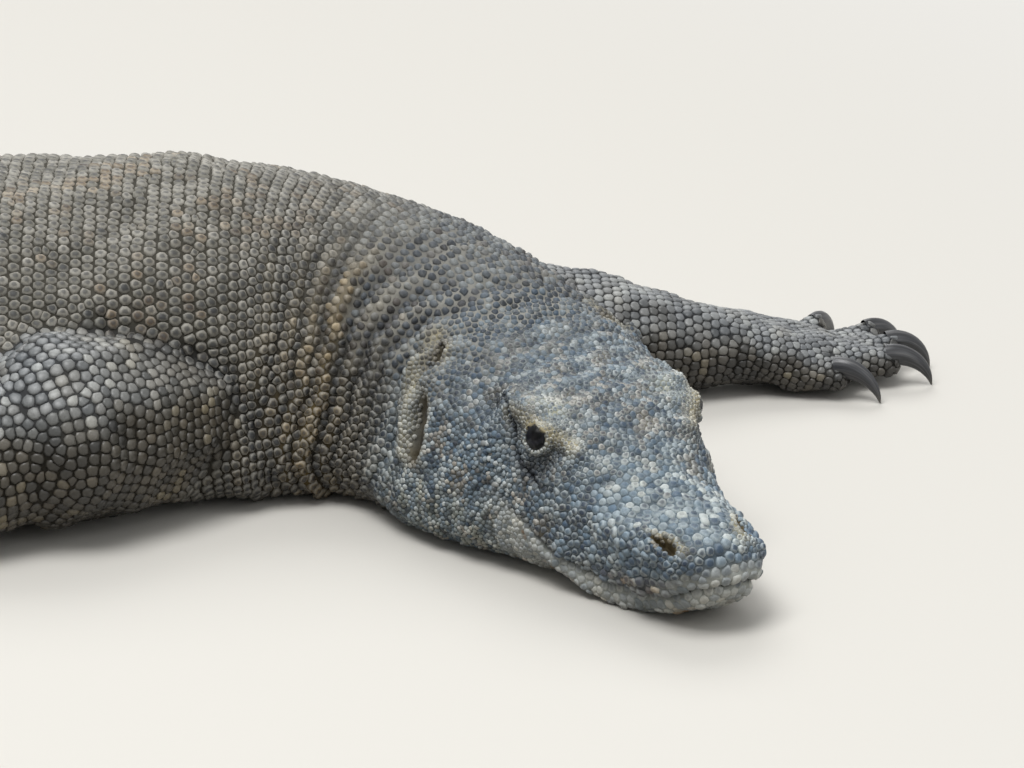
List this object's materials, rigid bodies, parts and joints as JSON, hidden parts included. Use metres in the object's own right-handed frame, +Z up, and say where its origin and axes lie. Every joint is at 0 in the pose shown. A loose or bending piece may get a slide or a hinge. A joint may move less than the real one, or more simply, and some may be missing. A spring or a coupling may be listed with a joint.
{
  "type": "komodo dragon",
  "caption": "Life-size Komodo dragon at rest: flat on its belly, chin on the ground, head turned right, one arm forward, long tail in a curve.",
  "frame": {"origin": "bottom centre of the whole animal's box, on the ground", "axes": "+X forwards along the trunk, +Y to the animal's left, +Z up"},
  "size_m": [2.3386, 0.7236, 0.158],
  "materials": {
    "head_hide": "dry, bead-scaled hide, blue grey mottled with cream and rust",
    "body_hide": "dry, bead-scaled hide, olive grey with rusty patches and pale scale rims",
    "limb_hide": "dry hide with larger flat scales, blue grey above and tan below",
    "ear_drum": "thin smooth membrane",
    "eye": "wet, glossy, dark brown",
    "claw": "worn dark horn with a slight sheen"
  },
  "bodies": {
    "root": {"head": "head_hide", "lower_jaw": "head_hide", "eye_left": "eye", "eye_right": "eye", "ear_drum_left": "ear_drum", "ear_drum_right": "ear_drum", "neck": "body_hide", "chest": "body_hide", "belly": "body_hide", "hips": "body_hide", "tail_1": "body_hide", "tail_2": "body_hide", "tail_3": "body_hide", "tail_4": "body_hide", "tail_5": "body_hide", "upper_arm_left": "limb_hide", "forearm_left": "limb_hide", "hand_left": "limb_hide", "claw_hand_left_1": "claw", "claw_hand_left_2": "claw", "claw_hand_left_3": "claw", "claw_hand_left_4": "claw", "claw_hand_left_5": "claw", "upper_arm_right": "limb_hide", "forearm_right": "limb_hide", "hand_right": "limb_hide", "claw_hand_right_1": "claw", "claw_hand_right_2": "claw", "claw_hand_right_3": "claw", "claw_hand_right_4": "claw", "claw_hand_right_5": "claw", "thigh_left": "limb_hide", "shank_left": "limb_hide", "foot_left": "limb_hide", "claw_foot_left_1": "claw", "claw_foot_left_2": "claw", "claw_foot_left_3": "claw", "claw_foot_left_4": "claw", "claw_foot_left_5": "claw", "thigh_right": "limb_hide", "shank_right": "limb_hide", "foot_right": "limb_hide", "claw_foot_right_1": "claw", "claw_foot_right_2": "claw", "claw_foot_right_3": "claw", "claw_foot_right_4": "claw", "claw_foot_right_5": "claw"}
  },
  "joints": []
}
